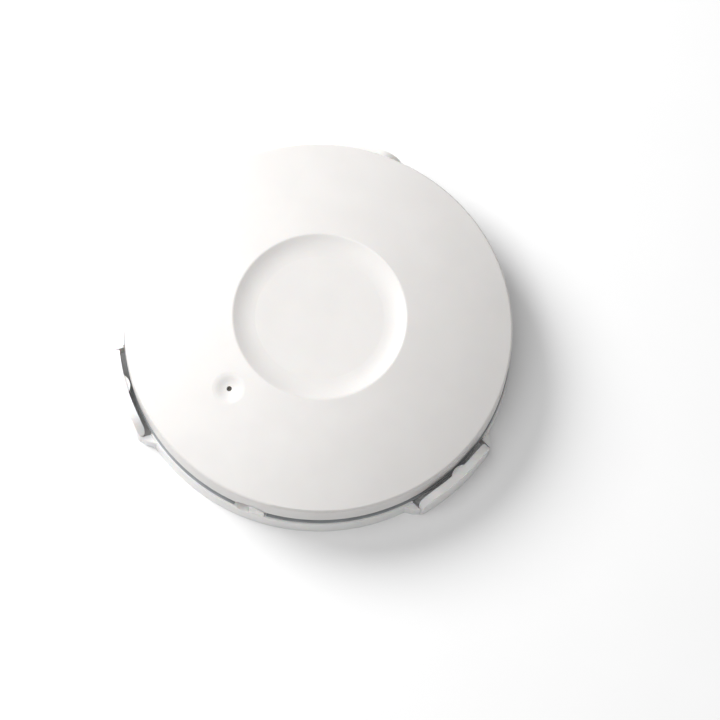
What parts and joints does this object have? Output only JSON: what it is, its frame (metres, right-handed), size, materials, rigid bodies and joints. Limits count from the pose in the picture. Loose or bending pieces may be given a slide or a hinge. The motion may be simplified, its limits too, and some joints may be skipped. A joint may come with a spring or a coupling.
{
  "type": "heat detector",
  "caption": "Shallow round white heat detector with a dished dome, pinhole, grey waist seal and upright spring clips on its ceiling bracket.",
  "frame": {"origin": "centre of the screw-slot pattern on the bracket's back face, on the centre line of the dome", "axes": "+Z out of the dome, away from the ceiling; +X along the line of the screw slots; +Y near the first of the three clips"},
  "size_m": [0.0876, 0.0899, 0.0196],
  "materials": {
    "shell_plastic": "fine satin moulding",
    "bracket_plastic": "fine satin moulding",
    "clip_plastic": "fine satin moulding",
    "cover_plastic": "fine spark-eroded texture",
    "seal_rubber": "matt silicone",
    "zinc_steel": "zinc plated",
    "foam": "closed-cell foam",
    "label": "satin printed film, blank",
    "cell_jacket": "printed sleeve, plain",
    "nickel_steel": "nickel plated",
    "lead_insulation": "soft PVC",
    "board_laminate": "solder mask",
    "module_laminate": "solder mask",
    "black_plastic": "moulded epoxy",
    "shield_tin": "tin plated",
    "copper_wire": "enamelled wire",
    "led_lens": "diffused lens",
    "collector_aluminium": "rolled sheet",
    "button_plastic": "moulded acetal"
  },
  "bodies": {
    "bracket": {"mounting_bracket": "bracket_plastic"},
    "clip_1": {"retaining_clip_1": "clip_plastic"},
    "clip_2": {"retaining_clip_2": "clip_plastic"},
    "clip_3": {"retaining_clip_3": "clip_plastic"},
    "head": {"top_shell": "shell_plastic", "seal_band": "seal_rubber", "back_cover": "cover_plastic", "cover_screws": "zinc_steel", "rating_label": "label", "battery_cell_1": "cell_jacket", "battery_cell_2": "cell_jacket", "contact_springs": "nickel_steel", "contact_plates": "nickel_steel", "battery_leads": "lead_insulation", "circuit_board": "board_laminate", "board_screws": "zinc_steel", "board_components": "black_plastic", "radio_module": "module_laminate", "radio_shield": "shield_tin", "spring_antenna": "copper_wire", "sounder": "black_plastic", "status_led": "led_lens", "heat_collector": "collector_aluminium", "thermistor": "black_plastic", "test_switch": "shield_tin", "tamper_switch": "black_plastic"},
    "door": {"battery_door": "cover_plastic", "door_foam": "foam"},
    "test_button": {"test_button": "button_plastic"},
    "tamper_plunger": {"tamper_plunger": "button_plastic"}
  },
  "joints": [
    {"name": "head_lift", "type": "slide", "parent": "bracket", "child": "head", "axis": [0, 0, 1], "range_m": [0, 0.04]},
    {"name": "clip_flex_1", "type": "hinge", "parent": "bracket", "child": "clip_1", "pos_m": [-0.00239, 0.04559, 0.0003], "axis": [-0.9986, -0.0523, 0], "range_deg": [0, 4], "stiffness_Nm_per_rad": 0.3},
    {"name": "clip_flex_2", "type": "hinge", "parent": "bracket", "child": "clip_2", "pos_m": [-0.0385, -0.02453, 0.0003], "axis": [0.5373, -0.8434, 0], "range_deg": [0, 4], "stiffness_Nm_per_rad": 0.3},
    {"name": "clip_flex_3", "type": "hinge", "parent": "bracket", "child": "clip_3", "pos_m": [0.03871, -0.02419, 0.0003], "axis": [0.5299, 0.848, 0], "range_deg": [0, 4], "stiffness_Nm_per_rad": 0.3},
    {"name": "battery_door_hinge", "type": "hinge", "parent": "head", "child": "door", "pos_m": [0, 0.0017, 0.0028], "axis": [-1, 0, 0], "range_deg": [0, 95]},
    {"name": "test_button_press", "type": "slide", "parent": "head", "child": "test_button", "axis": [0, 0, -1], "range_m": [0, 0.0003], "stiffness_N_per_m": 800},
    {"name": "tamper_plunger_release", "type": "slide", "parent": "head", "child": "tamper_plunger", "axis": [0, 0, -1], "range_m": [0, 0.0012]}
  ],
  "couplings": [
    {"joint": "tamper_plunger_release", "follows": "head_lift", "ratio": 0.03}
  ]
}
